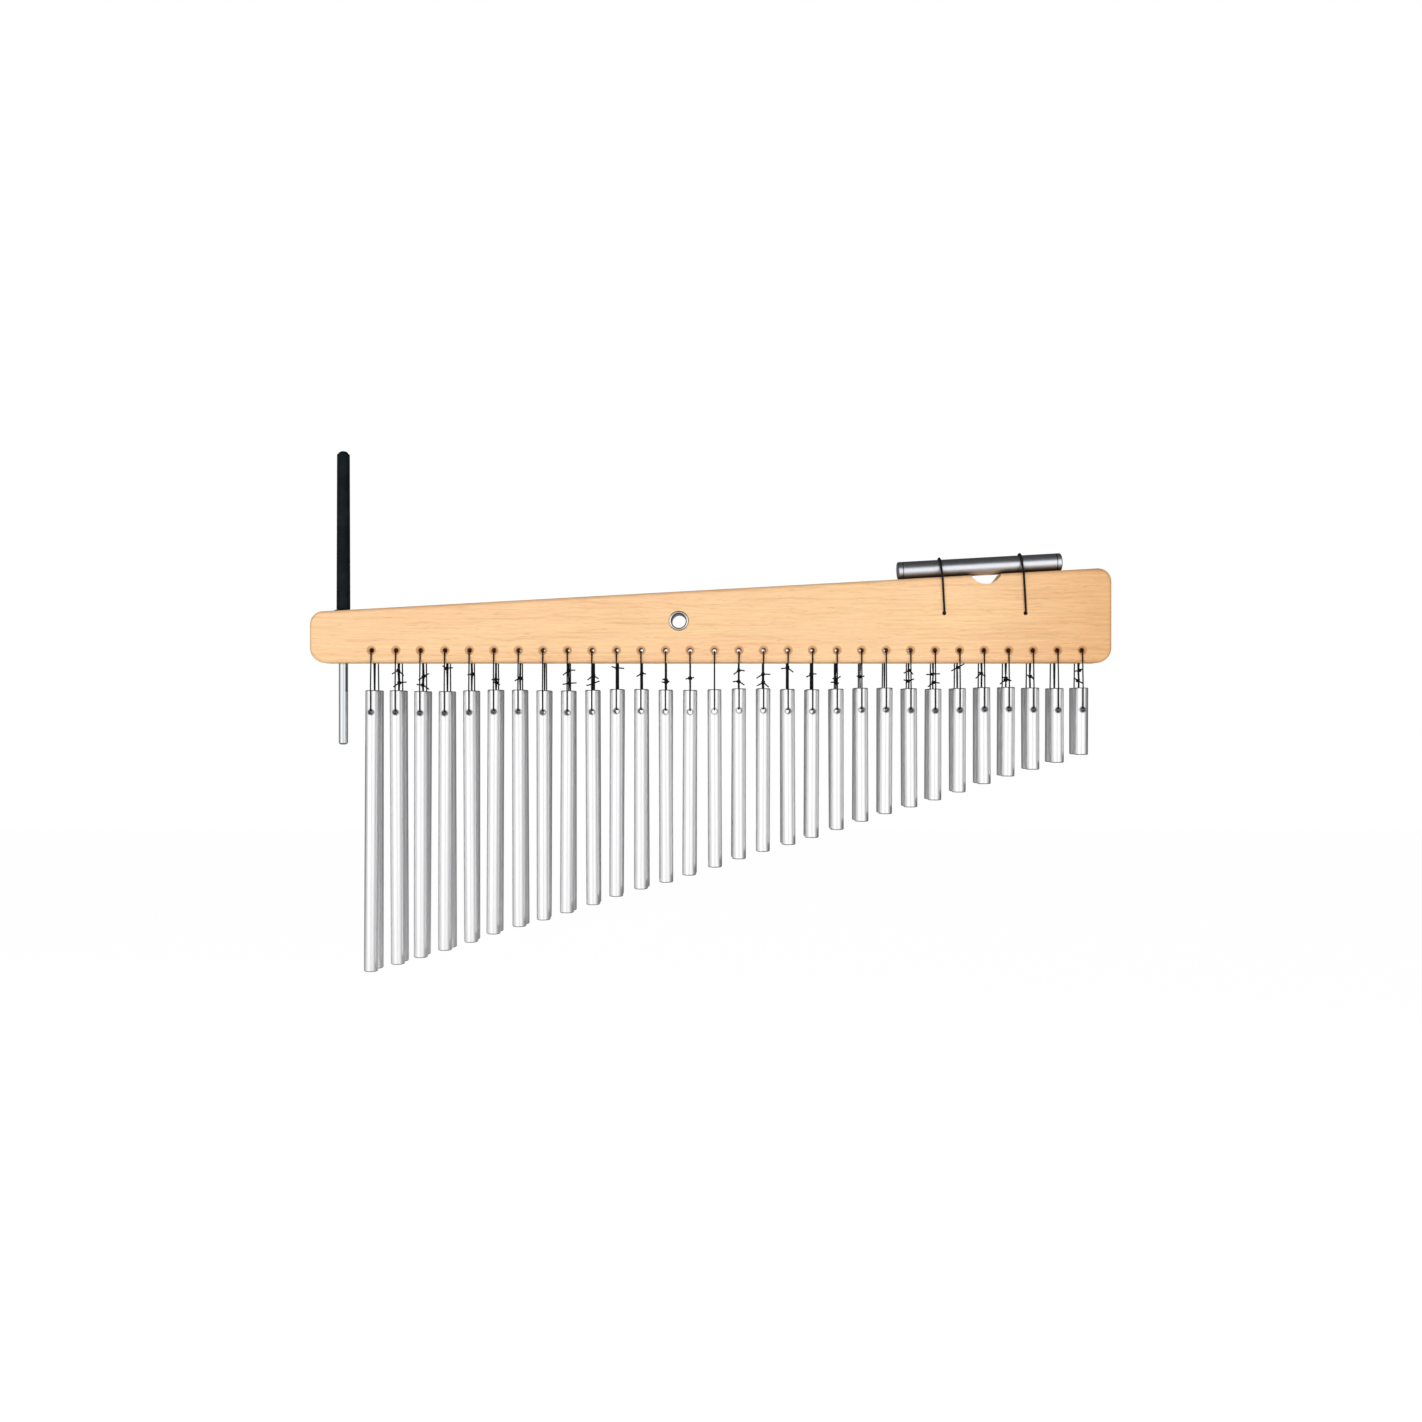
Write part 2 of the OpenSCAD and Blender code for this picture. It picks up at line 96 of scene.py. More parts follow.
def dress(finish, *nodeNames):  # a CAD node keeps its mesh and takes the finish
    for name in nodeNames:
        for holder in nodes[name].material_slots:
            holder.material = finish


# Camera: straight on, a metre in front of the beam

cameraPlace = {"x": 23, "y": -1000, "z": -64.36, "distance": 990, "shownWidth": 1015, "sensor": 36}


def placeCamera(place):
    lens = bpy.data.cameras.new("camera")
    lens.sensor_width = place["sensor"]
    lens.lens = place["sensor"] * place["distance"] / place["shownWidth"]
    lens.clip_start, lens.clip_end = 0.01, 60
    camera = bpy.data.objects.new("camera", lens)
    camera.location = [place[k] * mm for k in "xyz"]
    camera.rotation_euler = (math.pi / 2, 0, 0)
    bpy.context.scene.collection.objects.link(camera)
    bpy.context.scene.camera = camera


placeCamera(cameraPlace)
bpy.context.scene.view_settings.view_transform = "Standard"
print("camera placed")


# Cords: every bar hangs on its own loop of waxed cord, knotted between the beam and the bar

cordSizes = {
    "radius": 0.56,
    "plies": 3,
    "plyDepth": 0.13,  # how far the valleys between the plies go in, as a share of the radius
    "sides": 12,
    "lay": 3.9,  # length in which the plies turn once
    "step": 0.36,
    "bend": 0.75,
    "easyBend": 6,  # where a strand starts to lean
    "topZ": -21.9,  # where the loop goes through the beam's wall
    "faceY": 10.8,
    "grooveY": 2.2,
    "outerY": 12.3,  # the strands outside and inside of the bar
    "innerY": 0.8,
    "barRise": 15.52,  # from the swing axis to where the strands start to lean
    "knotHighest": -31.9,
    "knotLowest": 19.02,  # above the swing axis
    "knotShift": 0.5,
    "tuckedShare": 0.5,  # knots above this level, from -1 to 1, sit up in the groove
    "tuckedZ": -25.5,
    "wrapRadius": 0.84,
    "wrapTurns": 2.5,
    "wrapLength": 2.2,
    "tail": 4.4,
    "tailShare": (0.68, 0.3),  # middle and spread of a tail's share of that length
    "droop": (8, 36),  # middle and spread of the tails' droop, in degrees
    "curl": 0.35,
    "curlBack": 0.4,  # shares of the curl that go backwards, and upwards at the tip
    "curlUp": 2,
    "levelTurn": 103,  # degrees of scatter from one loop to the next, so that neighbours differ
    "tailTurn": 47,
    "droopTurns": {-1: 47, 1: 71},  # for the left and the right tail
    "curlTurns": {-1: 54, 1: 68},  # for the front and the rear loops
    "aside": 0.3,  # how far the knot pushes its strand, and over what length
    "asideOver": 4,
    "innerStrand": 3,  # the inner strand stays nearer than this to the middle of the beam
    "wrapSteps": 8,  # points in a turn
    "tailShape": (0.3, 0.55, 0.8, 1.0),  # points of a tail, as shares of its length
    "tailStart": 0.5,
}


def uneven(i, turn):  # a steady scatter from -1 to 1
    return math.sin(math.radians(i * turn))


def roundedRoute(corners, bends, step):  # straight runs and round bends, in even steps
    track = [corners[0]]
    for before, corner, after, bend in zip(corners, corners[1:], corners[2:], bends):
        back, on = (before - corner).normalized(), (after - corner).normalized()
        turn = math.pi - back.angle(on)
        if bend == 0 or turn < 0.01:
            track.append(corner)
            continue
        centre = corner + (back + on).normalized() * bend / math.cos(turn / 2)
        spoke = corner + back * bend * math.tan(turn / 2) - centre
        axis = back.cross(on)
        pieces = max(3, math.ceil(turn * bend / step))
        for k in range(pieces + 1):
            track.append(centre + Quaternion(axis, -turn * k / pieces) @ spoke)
    track.append(corners[-1])
    return evenSteps(track, step)


def evenSteps(track, step):  # points at even distances along the track
    reach = [0]
    for a, b in zip(track, track[1:]):
        reach.append(reach[-1] + (b - a).length)
    count = max(2, round(reach[-1] / step))
    route, k = [], 0
    for n in range(count + 1):
        want = reach[-1] * n / count
        while k < len(track) - 2 and reach[k + 1] < want:
            k += 1
        share = (want - reach[k]) / max(reach[k + 1] - reach[k], 1e-9)
        route.append(track[k].lerp(track[k + 1], min(max(share, 0), 1)))
    return route


def cordSection(name, radius, lobes, depth, sides):  # cross-section with the plies as lobes
    section = bpy.data.curves.new(name, "CURVE")
    section.dimensions = "2D"
    outline = section.splines.new("POLY")
    outline.points.add(sides - 1)
    for k, point in enumerate(outline.points):
        around = math.tau * k / sides
        out = radius * (1 - depth + depth * math.cos(lobes * around)) * mm
        point.co = (out * math.cos(around), out * math.sin(around), 0, 1)
    outline.use_cyclic_u = True
    holder = bpy.data.objects.new(name, section)
    bpy.context.scene.collection.objects.link(holder)
    return holder


def layCord(curve, route, lay, kind="POLY"):  # one length of cord, its plies turning evenly
    strand = curve.splines.new(kind)
    strand.points.add(len(route) - 1)
    along = 0
    for k, point in enumerate(strand.points):
        along += (route[k] - route[k - 1]).length if k else 0
        point.co = (*(route[k] * mm), 1)
        point.tilt = math.tau * along / lay if lay else 0
    if kind == "NURBS":
        strand.order_u = 4
        strand.use_endpoint_u = True
        strand.resolution_u = 3


def newRoutes(name, section=None, depth=0):  # an empty curve, with a cross-section or a radius
    curve = bpy.data.curves.new(name, "CURVE")
    curve.dimensions = "3D"
    curve.twist_mode = "MINIMUM"
    curve.use_fill_caps = True
    if section:
        curve.bevel_mode = "OBJECT"
        curve.bevel_object = section
    else:
        curve.bevel_depth = depth * mm
        curve.bevel_resolution = 1
    return curve


def cordPiece(name, curve, finish):  # the curve turned to a mesh, at the origin
    holder = bpy.data.objects.new(name + "Routes", curve)
    bpy.context.scene.collection.objects.link(holder)
    bpy.context.view_layer.update()
    drawn = holder.evaluated_get(bpy.context.evaluated_depsgraph_get())
    shape = bpy.data.meshes.new_from_object(drawn)
    bpy.data.objects.remove(holder)
    shape.name = name
    shape.materials.clear()
    shape.materials.append(finish)
    shape.shade_smooth()
    piece = bpy.data.objects.new(name, shape)
    bpy.context.scene.collection.objects.link(piece)
    return piece


def waxedCordFinish():
    # Waxed polyester cord, twisted from three plies: near black, with a dull waxy gleam and
    # fine fibres, drawn coarser than real ones so that they show close up.
    look = {"black": "#08080a", "dusty": "#17171a", "fibre": 0.12, "wax": 1.1}
    finish, tree, output, place = newFinish("waxed_polyester_cord")
    fibres = put(tree, "TexNoise", {"Vector": place, "Scale": 1 / (look["fibre"] * mm), "Detail": 2.0})
    wax = put(tree, "TexNoise", {"Vector": place, "Scale": 1 / (look["wax"] * mm), "Detail": 3.0})
    tint = put(
        tree, "ValToRGB", {"Fac": wax.outputs["Fac"]},
        [(0.35, colour(look["black"])), (0.8, colour(look["dusty"]))],
    )
    gleam = put(
        tree, "MapRange", {"Value": wax.outputs["Fac"], "To Min": 0.42, "To Max": 0.68}
    )
    relief = put(
        tree, "Bump", {"Height": fibres.outputs["Fac"], "Strength": 0.5, "Distance": 0.04 * mm}
    )
    shader = put(
        tree, "BsdfPrincipled",
        {
            "Base Color": tint.outputs["Color"], "Roughness": gleam.outputs["Result"],
            "IOR": 1.45, "Specular IOR Level": 0.15, "Normal": relief.outputs["Normal"],
        },
    )
    tree.links.new(shader.outputs["BSDF"], output.inputs["Surface"])
    return finish


def barLoop(curve, i, side, axis):  # side is -1 in front and 1 behind
    s = cordSizes
    level = uneven(i + side / 3, s["levelTurn"])
    tucked = level > s["tuckedShare"]  # so a third of the knots
    highest, lowest = s["knotHighest"], axis.z + s["knotLowest"]
    share = (level + 1) / (1 + s["tuckedShare"])
    knotZ = s["tuckedZ"] if tucked else lowest + share * (highest - lowest)
    shift = -s["knotShift"] if tucked else s["knotShift"]
    barZ = axis.z + s["barRise"]
    lean = (s["innerY"] - s["grooveY"]) * (s["topZ"] - knotZ) / (s["topZ"] - barZ)
    strandY = s["grooveY"] + lean
    drawn = [
        (strandY, knotZ),
        (s["grooveY"], s["topZ"]),
        (s["faceY"], s["topZ"]),
        (s["outerY"], barZ),
        (s["outerY"], axis.z),
        (s["innerY"], axis.z),
        (s["innerY"], barZ),
        (strandY, knotZ),
    ]
    corners = [Vector((axis.x, side * y, z)) for y, z in drawn]
    bends = [s["bend"], s["bend"], s["easyBend"], s["bend"], s["bend"], s["easyBend"]]
    route = roundedRoute(corners, bends, s["step"])
    for point in route:  # the knot pushes the strand a little aside
        if abs(point.y) < s["innerStrand"] and point.z < s["topZ"] - 2 * s["bend"]:
            point.x += s["aside"] * side * math.exp(-(((point.z - knotZ) / s["asideOver"]) ** 2))
    layCord(curve, route, s["lay"])
    centre = Vector((axis.x, side * (strandY + shift), knotZ))
    layCord(curve, knotRoute(centre, i, side), s["lay"], "NURBS")


def knotRoute(centre, i, side):  # a tail, a few turns wrapped round the strand, and the other tail
    s = cordSizes
    share, spread = s["tailShare"]
    tails = {
        end: s["tail"] * (share + spread * uneven(i + end * side / 2, s["tailTurn"]))
        for end in (-1, 1)
    }
    droop, spread = s["droop"]
    droops = {
        end: droop + spread * uneven(i + end * side, s["droopTurns"][end])
        for end in (-1, 1)
    }
    half, turns = s["wrapLength"] / 2, s["wrapTurns"]
    count = round(s["wrapSteps"] * turns)
    route = []
    for k in range(count + 1):
        around = math.tau * turns * k / count + i
        along = half * (2 * k / count - 1)
        out = s["wrapRadius"]
        route.append(Vector((along, out * math.cos(around) * side, out * math.sin(around))))
    for end in (-1, 1):
        down = math.radians(droops[end])
        heading = Vector((end * math.cos(down), 0, -math.sin(down)))
        curl = s["curl"] * uneven(i + 2 * end, s["curlTurns"][side])
        tips = []
        whole = half + tails[end]
        for reach in (s["tailStart"], *[share * whole for share in s["tailShape"]]):
            lift = s["curlUp"] * curl * (reach / whole) ** 2
            tips.append(heading * reach + Vector((0, s["curlBack"] * curl, lift)))
        route = route + tips if end > 0 else tips[::-1] + route
    return [centre + point for point in route]


def hangBars():
    s = cordSizes
    finish = waxedCordFinish()
    section = cordSection("cordSection", s["radius"], s["plies"], s["plyDepth"], s["sides"])
    axes = {
        int(j["name"][-2:]): Vector(j["pos_m"]) / mm
        for j in frame["joints"]
        if j["name"].startswith("swing")
    }
    pairs = sorted(axes)
    for group in range(0, len(pairs), 2):
        name = "cords_%02d" % (group // 2 + 1)
        curve = newRoutes("waxedCords", section)
        for i in pairs[group : group + 2]:
            for side in (-1, 1):
                barLoop(curve, i, side, axes[i])
        piece = cordPiece("waxed_" + name, curve, finish)
        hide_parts(name)
        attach(piece, "beam")
    bpy.data.objects.remove(section)


hangBars()
print("waxed cords laid")


# Elastic cords: braided, over the energy chime and through the beam, knotted behind

elasticSizes = {
    "core": 0.5,  # radius of the rubber inside, and of a yarn
    "yarn": 0.24,
    "middle": 0.48,  # radius at which the yarns run
    "weave": 0.08,  # how far they pass over and under
    "lay": 5.2,
    "yarnsEachWay": 4,
    "step": 0.22,
    "along": 29,  # half the distance between the two
    "shift": 0.5,
    "edgeY": 11.1,  # where the cord passes the beam's top edge, from the chime's axis
    "edgeZ": -8.55,
    "over": 7.45,  # radius of its turn over the chime
    "edgeBend": 2.4,
    "holeBend": 1.2,
    "holeZ": 5.5,  # height of the holes in the beam, and how far the cord sits above their middle
    "holeLift": 0.65,
    "backY": 10,  # the beam's rear face
    "knot": 3.52,
    "knotGap": 0.15,
    "knotCord": 0.72,  # radius of the cord in the knot
    "wrapRadius": 1.05,
    "wrapHalf": 1.25,
    "wrapTurns": 2.5,
    "wrapPoints": 24,
    "tailReach": (0.8, 2.0, 3.2, 4.4),
    "tailBack": 0.1,  # how much a tail goes back, and how much each falls, for its reach
    "leftFall": 0.7,
    "rightFall": 1.2,
    "beamRise": 31.7,  # the beam's top climbs this much over its length
    "beamLength": 573.5,
}


def elasticFinish():
    # Braided elastic with a polyester cover: black, with a soft silky shine on each yarn. Its
    # fibres are drawn coarser than real ones, so that they show close up.
    look = {"black": "#101012", "worn": "#2b2b2e", "fibre": 0.1, "patch": 2.5}
    finish, tree, output, place = newFinish("braided_elastic")
    fibres = put(tree, "TexNoise", {"Vector": place, "Scale": 1 / (look["fibre"] * mm), "Detail": 2.0})
    patches = put(tree, "TexNoise", {"Vector": place, "Scale": 1 / (look["patch"] * mm), "Detail": 2.0})
    tint = put(
        tree, "ValToRGB", {"Fac": patches.outputs["Fac"]},
        [(0.4, colour(look["black"])), (0.85, colour(look["worn"]))],
    )
    relief = put(
        tree, "Bump", {"Height": fibres.outputs["Fac"], "Strength": 0.4, "Distance": 0.03 * mm}
    )
    shader = put(
        tree, "BsdfPrincipled",
        {
            "Base Color": tint.outputs["Color"], "Roughness": 0.5, "IOR": 1.5,
            "Specular IOR Level": 0.2, "Sheen Weight": 0.05, "Normal": relief.outputs["Normal"],
        },
    )
    tree.links.new(shader.outputs["BSDF"], output.inputs["Surface"])
    return finish


def elasticPiece(name, side, origin, slope, finish):
    s = elasticSizes
    tilt = Quaternion((0, 1, 0), -slope)
    along = s["shift"] + side * s["along"]
    holeZ = (s["holeZ"] - origin.z - along * math.sin(slope)) / math.cos(slope) + s["holeLift"]
    reach = math.hypot(s["edgeY"], s["edgeZ"])
    apex = s["over"] / math.sin(math.acos(s["over"] / reach) - math.atan(-s["edgeZ"] / s["edgeY"]))
    drawn = [
        (s["edgeY"], holeZ / 2),
        (s["edgeY"], s["edgeZ"]),
        (0, apex),
        (-s["edgeY"], s["edgeZ"]),
        (-s["edgeY"], holeZ),
        (s["edgeY"], holeZ),
        (s["edgeY"], holeZ / 2),
    ]
    corners = [Vector((along, y, z)) for y, z in drawn]
    bends = [s["edgeBend"], s["over"], s["edgeBend"], s["holeBend"], s["holeBend"]]
    route = roundedRoute(corners, bends, s["step"])
    curve = newRoutes("elastic", None, s["yarn"])
    for way in (-1, 1):
        for k in range(s["yarnsEachWay"]):
            layCord(curve, yarnRoute(route, way, k), 0)
    core = newRoutes("core", None, s["core"])
    layCord(core, route, 0)
    knotCentre = Vector((along, s["backY"] + s["knot"] / 2 + s["knotGap"], holeZ / 2))
    thick = newRoutes("knot", None, s["knotCord"])
    layCord(thick, elasticKnot(knotCentre), 0, "NURBS")
    made = bmesh.new()
    for strandCurve in (curve, core, thick):
        part = cordPiece("elasticPart", strandCurve, finish)
        made.from_mesh(part.data)
        bpy.data.objects.remove(part)
    bmesh.ops.rotate(made, verts=made.verts, cent=(0, 0, 0), matrix=tilt.to_matrix())
    bmesh.ops.translate(made, verts=made.verts, vec=origin * mm)
    shape = bpy.data.meshes.new(name)
    made.to_mesh(shape)
    made.free()
    shape.materials.append(finish)
    shape.shade_smooth()
    piece = bpy.data.objects.new("braided_" + name, shape)
    bpy.context.scene.collection.objects.link(piece)
    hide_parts(name)
    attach(piece, "beam")


def elasticKnot(centre):  # a few turns, with a tail to each side
    s = elasticSizes
    wrap = []
    for k in range(s["wrapPoints"] + 1):
        share = k / s["wrapPoints"]
        around = math.tau * s["wrapTurns"] * share
        along, out = s["wrapHalf"] * (2 * share - 1), s["wrapRadius"]
        wrap.append(Vector((along, out * math.cos(around), out * math.sin(around))))
    left, right = [
        [Vector((end * r, s["tailBack"] * r, -fall * r)) for r in s["tailReach"]]
        for end, fall in ((-1, s["leftFall"]), (1, s["rightFall"]))
    ]
    return [centre + point for point in left[::-1] + wrap + right]


def yarnRoute(route, way, k):  # one yarn of the braid, over and under those that turn the other way
    s = elasticSizes
    yarn = []
    across = Vector((1, 0, 0))
    for n, point in enumerate(route):
        ahead = route[min(n + 1, len(route) - 1)] - route[max(n - 1, 0)]
        out = ahead.cross(across).normalized()
        turned = math.tau * n * s["step"] / s["lay"]
        around = way * turned + math.tau * k / s["yarnsEachWay"]
        far = s["middle"] + way * s["weave"] * math.cos(s["yarnsEachWay"] * turned)
        yarn.append(point + far * (math.cos(around) * out + math.sin(around) * across))
    return yarn


chimeLow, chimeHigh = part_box("energy_chime")
chimeMiddle = (chimeLow + chimeHigh) / 2 / mm
beamSlope = math.atan(elasticSizes["beamRise"] / elasticSizes["beamLength"])
elasticCover = elasticFinish()
for name, side in (("energy_cord_left", -1), ("energy_cord_right", 1)):
    elasticPiece(name, side, chimeMiddle, beamSlope, elasticCover)
print("elastic cords laid")


# Beam: clear-lacquered beech

beechLook = {
    "light": "#fcd3a2",
    "middle": "#f7c997",
    "dark": "#e3ae7a",
    "fleck": "#a87a4c",
    "pink": "#f3bd8e",
    "yellow": "#f5cc92",
    "endGrain": "#cf9a63",
    "highEndTint": "#ede2cf",  # the wood is darker towards its high end
    "highEndFrom": 205,
    "highEndTo": 300,
    "grain": (90, 4.5, 4.5),  # size of each pattern along the beam, across it and upwards
    "fibre": (18, 0.6, 0.6),
    "flecks": (7, 0.6, 0.6),
    "patches": (140, 26, 26),
    "ring": 3.4,  # growth rings, millimetres apart
    "pith": (0, -55, 210),  # shifts the middle of the rings well outside the beam
    "scorchedAndShaded": "#571c08",  # the drill scorches the cord holes; the dark inside them is also painted shade
    "drilled": "#c58a55",
}
cordHoles = {
    "first": -219.5,
    "last": 288.0,
    "pitch": 17.5,
    "z": -21,
    "edge": 1.5,  # radius of the hole, and of its countersink
    "mouth": 3.15,
    "reach": 5,  # how far from a hole the wood can change
    "rim": ((-0.45, 0.3), (-0.1, 0.6), (0.15, 0.5), (0.4, 0.0)),  # darker wood round the mouth
    "burnAndShade": ((-0.05, 0.95), (0.3, 0.35), (0.8, 0.0)),  # scorching round the edge, and painted shade inside the hole
}


def drilledHoles(tree, place, wood, look):  # darker end grain in each countersink; scorch and painted shade inside
    h = cordHoles
    first, last, z = h["first"] * mm, h["last"] * mm, h["z"] * mm
    half, reach = h["pitch"] / 2 * mm, h["reach"] * mm
    fromFirst = put(tree, "VectorMath", {0: place, 1: (first, 0, z)}, operation="SUBTRACT")
    fromHole = put(  # starts again at every pitch along the beam
        tree, "VectorMath",
        {0: fromFirst.outputs["Vector"], 1: (half, 1, 1), 2: (-half, -1, -1)},
        operation="WRAP",
    )
    flat = put(
        tree, "VectorMath", {0: fromHole.outputs["Vector"], 1: (1, 0, 1)}, operation="MULTIPLY"
    )
    far = put(tree, "VectorMath", {0: flat.outputs["Vector"]}, operation="LENGTH")
    across = put(tree, "SeparateXYZ", {"Vector": place}).outputs["X"]
    inRow = put(  # 1 along the row of holes, and 0 past its ends
        tree, "Math",
        {0: across, 1: (first + last) / 2, 2: (last - first) / 2 + reach},
        operation="COMPARE",
    )
    near = put(  # 1 at the middle of a hole, and 0 where its reach ends
        tree, "MapRange",
        {
            "Value": far.outputs["Value"], "From Max": reach,
            "To Min": inRow.outputs["Value"], "To Max": 0.0,
        },
    )
    # the second pass paints each hole's edge and wall dark: partly scorch, partly painted shade in the
    # hole
    for radius, ring, tone in (("mouth", "rim", "drilled"), ("edge", "burnAndShade", "scorchedAndShaded")):
        stops = [
            (1 - (h[radius] + at) / h["reach"], (much, much, much, 1))
            for at, much in reversed(h[ring])
        ]
        shown = put(tree, "ValToRGB", {"Fac": near.outputs["Result"]}, stops)
        wood = put(
            tree, "Mix",
            {"Factor": shown.outputs["Color"], "A": wood, "B": colour(look[tone])},
            data_type="RGBA",
        ).outputs["Result"]
    return wood


def lacqueredBeechFinish(look):
    # Beech, planed and clear-lacquered: pale warm wood with soft long grain, short brown
    # flecks, pink and yellow patches, end grain at both ends and a satin coat. The fibres and
    # flecks are drawn a little coarser than real ones, so that they show.
    finish, tree, output, place = newFinish("lacquered_beech")
    shift = [way * mm for way in look["pith"]]
    pith = put(tree, "Mapping", {"Vector": place, "Location": shift})
    ringScale = 0.314 / (look["ring"] * mm)  # a ring of this wave is 0.314 wide at scale 1
    rings = put(
        tree, "TexWave",
        {
            "Vector": pith.outputs["Vector"], "Scale": ringScale,
            "Distortion": 9.0, "Detail": 3.0, "Detail Scale": 0.25, "Detail Roughness": 0.65,
        },
        wave_type="RINGS", rings_direction="X",
    )
    grain = streaks(tree, place, look["grain"], 5.0)
    fibre = streaks(tree, place, look["fibre"], 3.0)
    flecks = streaks(tree, place, look["flecks"], 2.0)
    patches = streaks(tree, place, look["patches"], 2.0)
    mixed = put(
        tree, "Mix", {"Factor": 0.15, "A": grain, "B": rings.outputs["Fac"]}, data_type="FLOAT"
    )
    tone = put(
        tree, "ValToRGB", {"Fac": mixed.outputs["Result"]},
        [
            (0.22, colour(look["dark"])),
            (0.78, colour(look["light"])),
            (0.48, colour(look["middle"])),
        ],
    )
    hue = put(
        tree, "ValToRGB", {"Fac": patches},
        [
            (0.32, colour(look["pink"])),
            (0.68, colour(look["yellow"])),
            (0.5, colour(look["middle"])),
        ],
    )
    warmed = put(
        tree, "Mix", {"Factor": 0.4, "A": tone.outputs["Color"], "B": hue.outputs["Color"]},
        data_type="RGBA",
    )
    lines = put(
        tree, "MapRange",
        {"Value": fibre, "From Min": 0.3, "From Max": 0.7, "To Min": 0.9, "To Max": 1.06},
    )
    fibred = put(
        tree, "Mix", {"Factor": 1.0, "A": warmed.outputs["Result"], "B": lines.outputs["Result"]},
        data_type="RGBA", blend_type="MULTIPLY",
    )
    spots = put(
        tree, "MapRange",
        {"Value": flecks, "From Min": 0.6, "From Max": 0.74, "To Max": 0.3},
    )
    flecked = put(
        tree, "Mix",
        {
            "Factor": spots.outputs["Result"], "A": fibred.outputs["Result"],
            "B": colour(look["fleck"]),
        },
        data_type="RGBA",
    )
    across = put(tree, "SeparateXYZ", {"Vector": place}).outputs["X"]
    highEndTint = put(
        tree, "MapRange",
        {"Value": across, "From Min": look["highEndFrom"] * mm, "From Max": look["highEndTo"] * mm},
    )
    deepened = put(
        tree, "Mix",
        {
            "Factor": highEndTint.outputs["Result"], "A": flecked.outputs["Result"],
            "B": colour(look["highEndTint"]),
        },
        data_type="RGBA", blend_type="MULTIPLY",
    )
    facing = put(tree, "SeparateXYZ", {"Vector": put(tree, "TexCoord").outputs["Normal"]})
    endwise = put(tree, "Math", {0: facing.outputs["X"]}, operation="ABSOLUTE")
    ends = put(
        tree, "MapRange",
        {"Value": endwise.outputs["Value"], "From Min": 0.55, "From Max": 0.95, "To Max": 0.6},
    )
    endTone = put(
        tree, "Mix",
        {"Factor": rings.outputs["Fac"], "A": colour(look["endGrain"]), "B": colour(look["dark"])},
        data_type="RGBA",
    )
    wood = put(
        tree, "Mix",
        {
            "Factor": ends.outputs["Result"], "A": deepened.outputs["Result"],
            "B": endTone.outputs["Result"],
        },
        data_type="RGBA",
    )
    drilled = drilledHoles(tree, place, wood.outputs["Result"], look)
    relief = put(tree, "Bump", {"Height": fibre, "Strength": 0.25, "Distance": 0.04 * mm})
    shader = put(
        tree, "BsdfPrincipled",
        {
            "Base Color": drilled, "Roughness": 0.5, "IOR": 1.5,
            "Specular IOR Level": 0.3, "Coat Weight": 0.2, "Coat Roughness": 0.25,
            "Normal": relief.outputs["Normal"],
        },
    )
    tree.links.new(shader.outputs["BSDF"], output.inputs["Surface"])
    return finish


dress(lacqueredBeechFinish(beechLook), "beam")
print("beam finished")


# Metals

barLook = {
    "metal": "#fafafb",
    "line": 0.5,  # width of a drawn line, and its length
    "streak": 60,
    "smudge": 25,
    "roughness": (0.31, 0.37),
    "along": "Z",
    "contactShadeReach": 0.8,  # how near another piece must come for the metal to take painted contact shade
    "edge": 0.7,  # reach of the dull edge and its painted shade
    "holeEdge": 2.2,  # for the cross-holes, and how far above and below their line it holds
    "holeZone": 5,
    "edgeShadeTone": "#404145",
}


def edgeReach(tree, place, look):  # how far the dull edge and its painted shade reach: further round the cross-holes
    if "holeEdge" not in look:
        return look["edge"] * mm
    axes = [j["pos_m"] for j in frame["joints"] if j["name"].startswith("swing")]
    first, last = min(axes), max(axes)
    at = put(tree, "SeparateXYZ", {"Vector": place}).outputs
    level = put(
        tree, "MapRange",
        {
            "Value": at["X"], "From Min": first[0], "From Max": last[0],
            "To Min": first[2], "To Max": last[2],
        },
    )
    above = put(tree, "Math", {0: at["Z"], 1: level.outputs["Result"]}, operation="SUBTRACT")
    away = put(tree, "Math", {0: above.outputs["Value"]}, operation="ABSOLUTE")
    zone = look["holeZone"] * mm
    near = put(tree, "Math", {0: away.outputs["Value"], 1: zone}, operation="LESS_THAN")
    edge, holeEdge = look["edge"] * mm, look["holeEdge"] * mm
    return put(
        tree, "MapRange", {"Value": near.outputs["Value"], "To Min": edge, "To Max": holeEdge}
    ).outputs["Result"]


def dullAndShadedFaces(tree, place, look):  # 0 on the drawn surface, up to 1 at edges, ends and hole walls: partly dull worked metal, partly painted shade
    eased = put(tree, "Bevel", {"Radius": edgeReach(tree, place, look)}, samples=6)
    straight = put(tree, "NewGeometry").outputs["Normal"]
    match = put(
        tree, "VectorMath", {0: eased.outputs["Normal"], 1: straight}, operation="DOT_PRODUCT"
    )
    edges = put(
        tree, "MapRange",
        {"Value": match.outputs["Value"], "From Min": 0.995, "From Max": 0.85},
    )
    facing = put(tree, "SeparateXYZ", {"Vector": put(tree, "TexCoord").outputs["Normal"]})
    along = put(tree, "Math", {0: facing.outputs[look["along"]]}, operation="ABSOLUTE")
    ends = put(
        tree, "MapRange",
        {"Value": along.outputs["Value"], "From Min": 0.3, "From Max": 0.6, "To Max": 0.85},
    )
    return put(
        tree, "Math", {0: edges.outputs["Result"], 1: ends.outputs["Result"]}, operation="MAXIMUM"
    ).outputs["Value"]


